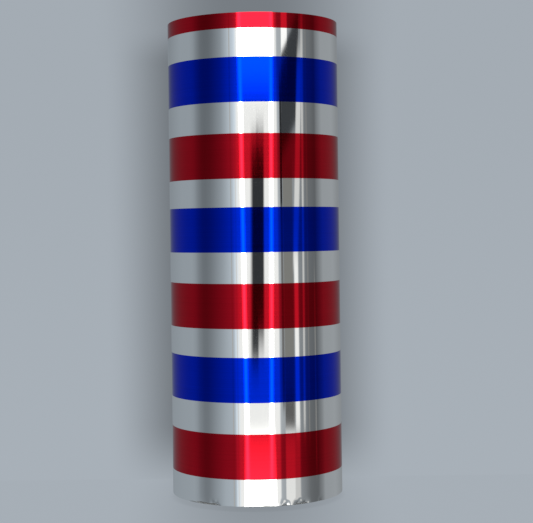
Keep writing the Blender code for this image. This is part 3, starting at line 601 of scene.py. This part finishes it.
def floor_shade(nodes, x, y):
    """How bright the floor is painted: painted shade under and round the drum's foot."""
    around = nodes.step(nodes.length(x, nodes.math("MULTIPLY", y, 0.25)), 3 * MM, 93 * MM, 0.69, 0.98)
    from_rim = nodes.math("SUBTRACT", nodes.length(x, y), DRUM_RADIUS)
    return nodes.math("MULTIPLY", around, nodes.step(from_rim, -3 * MM, 3 * MM, 0.92, 1.0))


def backdrop_material(name, one_sided):
    """Even grey, with painted shade close round the drum. A one-sided card is clear from its back."""
    material = bpy.data.materials.new(name)
    material.use_nodes = True
    nodes = Nodes(material.node_tree)
    place = nodes.add("ShaderNodeNewGeometry")
    x, y, z = nodes.add("ShaderNodeSeparateXYZ", Vector=place.outputs["Position"]).outputs
    shade = card_shade(nodes, x, z) if one_sided else floor_shade(nodes, x, y)
    # Painted light: the glow is a little brighter at the floor and a little darker at the drum's top height
    light = nodes.math("MULTIPLY", shade, nodes.step(z, 0.0, DRUM_HIGH, 1.04, 0.985))
    tone = nodes.mix(light, (0, 0, 0, 1), (*BACKDROP, 1))
    finish = nodes.add("ShaderNodeEmission", Color=tone, Strength=1.0)
    if one_sided:
        glow, clear = finish, nodes.add("ShaderNodeBsdfTransparent")
        finish = nodes.add("ShaderNodeMixShader", Fac=place.outputs["Backfacing"])
        nodes.feed(finish, "1", glow.outputs[0])
        nodes.feed(finish, "2", clear.outputs[0])
    nodes.add("ShaderNodeOutputMaterial", Surface=finish.outputs[0])
    return material


class Finish:
    """A Principled material, and the patterns that feed it, in the piece's own metres."""

    def __init__(self, slot, roughness, metallic=0.0, colour=None, **inputs):
        self.slot = slot
        self.colour = colour or RECORD_COLOURS[slot]
        self.material = bpy.data.materials.new(slot)
        self.material.use_nodes = True
        self.nodes = Nodes(self.material.node_tree)
        self.place = self.nodes.add("ShaderNodeTexCoord").outputs["Object"]
        self.shader = self.nodes.add(
            "ShaderNodeBsdfPrincipled", Base_Color=(*self.colour, 1), Roughness=roughness,
            Metallic=metallic, **inputs
        )
        self.nodes.add("ShaderNodeOutputMaterial", Surface=self.shader.outputs[0])

    def noise(self, x, y, z, detail=2.0):
        """Noise with so many cycles to the metre along each axis, from about 0.3 to 0.7."""
        place = self.nodes.add("ShaderNodeMapping", Vector=self.place, Scale=(x, y, z)).outputs[0]
        return self.nodes.add("ShaderNodeTexNoise", Vector=place, Scale=1.0, Detail=detail).outputs[0]

    def paint(self, pattern, first, second):
        """Colours the surface from first to second by a pattern."""
        self.nodes.feed(self.shader, "Base Color", self.nodes.mix(pattern, (*first, 1), (*second, 1)))

    def mottle(self, pattern, amount):
        """Makes the colour a little darker and lighter by a pattern."""
        dark, light = ([part * side for part in self.colour] for side in (1 - amount, 1 + amount))
        self.paint(pattern, dark, light)

    def gloss(self, pattern, low, high):
        """Varies the roughness from low to high by a pattern."""
        self.nodes.feed(self.shader, "Roughness", self.nodes.step(pattern, 0.3, 0.7, low, high))

    def bump(self, pattern, height):
        """Raises the surface by a pattern, from 0 to so many metres."""
        raised = self.nodes.add("ShaderNodeBump", Height=pattern, Strength=1.0, Distance=height)
        self.nodes.feed(self.shader, "Normal", raised.outputs[0])


def mirror_film():
    """Bright film: faint streaks along the drum, where it was drawn off its roll, and a few dull patches."""
    finish = Finish("mirror_film", 0.035, 1.0, SILVER)
    finish.gloss(finish.noise(30, 30, 12, 4), 0.03, 0.05)
    finish.bump(finish.noise(260, 260, 5), 0.004 * MM)
    return finish


def tinted_film(slot, colour):
    """Tinted film, with fine hairlines round the drum and a slightly softer shine than the bare film."""
    finish = Finish(slot, 0.07, 1.0, colour, Specular_Tint=TINTED_RIM)
    hairlines = finish.noise(6, 6, 2600, 3)
    finish.mottle(hairlines, 0.16)
    finish.gloss(hairlines, 0.06, 0.08)
    finish.bump(finish.noise(260, 260, 5), 0.004 * MM)
    return finish


def clear_acrylic():
    """Clear tube, hardly rough, with faint drawing lines along it."""
    finish = Finish("clear_acrylic", 0.03, Transmission_Weight=0.92, IOR=1.49)
    finish.gloss(finish.noise(400, 400, 8), 0.02, 0.07)
    finish.bump(finish.noise(500, 500, 6), 0.004 * MM)
    return finish


def moulded(slot, roughness, grain=3500):
    """Plastic from a spark-eroded mould: a fine even grain, and slightly uneven colour and gloss."""
    finish = Finish(slot, roughness)
    finish.mottle(finish.noise(70, 70, 70, 3), 0.05)
    finish.gloss(finish.noise(900, 900, 900), roughness - 0.07, roughness + 0.07)
    finish.bump(finish.noise(grain, grain, grain), 0.03 * MM)
    return finish


def turned_metal(slot, roughness):
    """Metal with fine turning marks round the upright axis, and a few handling marks."""
    finish = Finish(slot, roughness, 1.0)
    x, y, z = finish.nodes.add("ShaderNodeSeparateXYZ", Vector=finish.place).outputs
    from_axis = finish.nodes.length(x, y)
    rings = finish.nodes.add("ShaderNodeCombineXYZ", X=from_axis, Y=0.0, Z=z).outputs[0]
    scale = finish.nodes.add("ShaderNodeMapping", Vector=rings, Scale=(4500, 1, 4500)).outputs[0]
    marks = finish.nodes.add("ShaderNodeTexNoise", Vector=scale, Scale=1.0, Detail=2.0).outputs[0]
    finish.mottle(finish.noise(150, 150, 150, 4), 0.1)
    finish.gloss(marks, roughness - 0.1, roughness + 0.1)
    finish.bump(marks, 0.006 * MM)
    return finish


def zinc_plate():
    """Bright zinc: cloudy, with fine scratches."""
    finish = Finish("steel", 0.35, 1.0)
    finish.mottle(finish.noise(200, 200, 200, 5), 0.16)
    finish.gloss(finish.noise(500, 500, 60, 3), 0.24, 0.45)
    finish.bump(finish.noise(3000, 3000, 300), 0.006 * MM)
    return finish


def opal_acrylic():
    """Milky diffuser: light passes a little way in, under a satin skin."""
    finish = Finish("opal_acrylic", 0.3, Subsurface_Weight=0.3, Subsurface_Radius=(1.0, 1.0, 0.9),
                    Subsurface_Scale=2 * MM)
    finish.mottle(finish.noise(40, 40, 40), 0.02)
    finish.gloss(finish.noise(800, 800, 800), 0.24, 0.38)
    finish.bump(finish.noise(2500, 2500, 2500), 0.01 * MM)
    return finish


def rubber():
    """Matt black rubber with a bloom of dust."""
    finish = Finish("rubber", 0.8)
    finish.paint(finish.noise(250, 250, 250, 5), (0.018, 0.018, 0.018), (0.05, 0.049, 0.046))
    finish.gloss(finish.noise(700, 700, 700), 0.7, 0.92)
    finish.bump(finish.noise(2800, 2800, 2800, 4), 0.05 * MM)
    return finish


def circuit_board():
    """Green resist over copper tracks, which show through as a lighter green."""
    finish = Finish("circuit_board", 0.25, Coat_Weight=0.3)
    cells = finish.nodes.add(
        "ShaderNodeTexVoronoi", {"feature": "DISTANCE_TO_EDGE"}, Vector=finish.place, Scale=420.0
    )
    tracks = finish.nodes.step(cells.outputs["Distance"], 0.1, 0.14, 1.0, 0.0)
    finish.paint(tracks, (0.012, 0.13, 0.05), (0.03, 0.3, 0.1))
    finish.bump(tracks, 0.03 * MM)
    return finish


def led_board():
    """White resist with a yellow LED package every 8 mm along it."""
    finish = Finish("led_board", 0.3)
    height = finish.nodes.add("ShaderNodeSeparateXYZ", Vector=finish.place).outputs[2]
    along = finish.nodes.math("FRACT", finish.nodes.math("MULTIPLY", height, 1 / (8 * MM)))
    package = finish.nodes.window(along, (0.34, 0.66), (0.03, 0.03))
    finish.paint(package, finish.colour, (0.85, 0.62, 0.12))
    finish.bump(package, 0.2 * MM)
    return finish


def cell_label():
    """A plain dark shrink label between the cell's bare ends, with two pale rings round it."""
    finish = Finish("cell_label", 0.25, Coat_Weight=0.4)
    low, high = (corner.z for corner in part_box("cell_1"))
    height = finish.nodes.add("ShaderNodeSeparateXYZ", Vector=finish.place).outputs[2]
    middle = (low + high) / 2
    away = finish.nodes.math("ABSOLUTE", finish.nodes.math("SUBTRACT", height, middle))
    ring = finish.nodes.window(away, (14 * MM, 16.5 * MM), (0.1 * MM, 0.1 * MM))
    finish.paint(ring, finish.colour, (0.6, 0.6, 0.58))
    ends = finish.nodes.step(away, (high - low) / 2 - 2.4 * MM, (high - low) / 2 - 2.3 * MM)
    finish.nodes.feed(finish.shader, "Metallic", ends)
    finish.bump(finish.noise(600, 600, 60), 0.02 * MM)
    return finish


def wire_insulation():
    """Red PVC over stranded wire: a soft sheen on a slightly lumpy skin."""
    finish = Finish("wire_insulation", 0.45)
    finish.mottle(finish.noise(300, 300, 300), 0.12)
    finish.gloss(finish.noise(900, 900, 900), 0.36, 0.52)
    finish.bump(finish.noise(1800, 1800, 1800), 0.02 * MM)
    return finish


RECORD_COLOURS = {slot["slot"]: tuple(slot["base_color"][:3]) for slot in frame["record"]["materials"]}
FINISHES = (
    mirror_film(), tinted_film("red_film", RED), tinted_film("blue_film", BLUE),
    clear_acrylic(), moulded("white_plastic", 0.42), moulded("black_plastic", 0.5), opal_acrylic(),
    turned_metal("aluminium", 0.3), zinc_plate(), turned_metal("bronze", 0.38), rubber(),
    moulded("acetal", 0.35, 2000), circuit_board(), led_board(), cell_label(), wire_insulation(),
)
MATERIALS = {finish.slot: finish.material for finish in FINISHES}


def dress_cad_nodes():
    """Gives every CAD node that stays its slot's finish."""
    for part in frame["record"]["subparts"]:
        for slot in frame["nodes"][part["node"]].material_slots:
            slot.material = MATERIALS[part["material_slot"]]


bpy.context.scene.view_settings.view_transform = "Standard"
add_camera()
add_studio()
add_lights()
add_backdrop()
dress_cad_nodes()
ease_edges()
add_film()
add_tube()
add_switch()
add_spring()
add_foot()
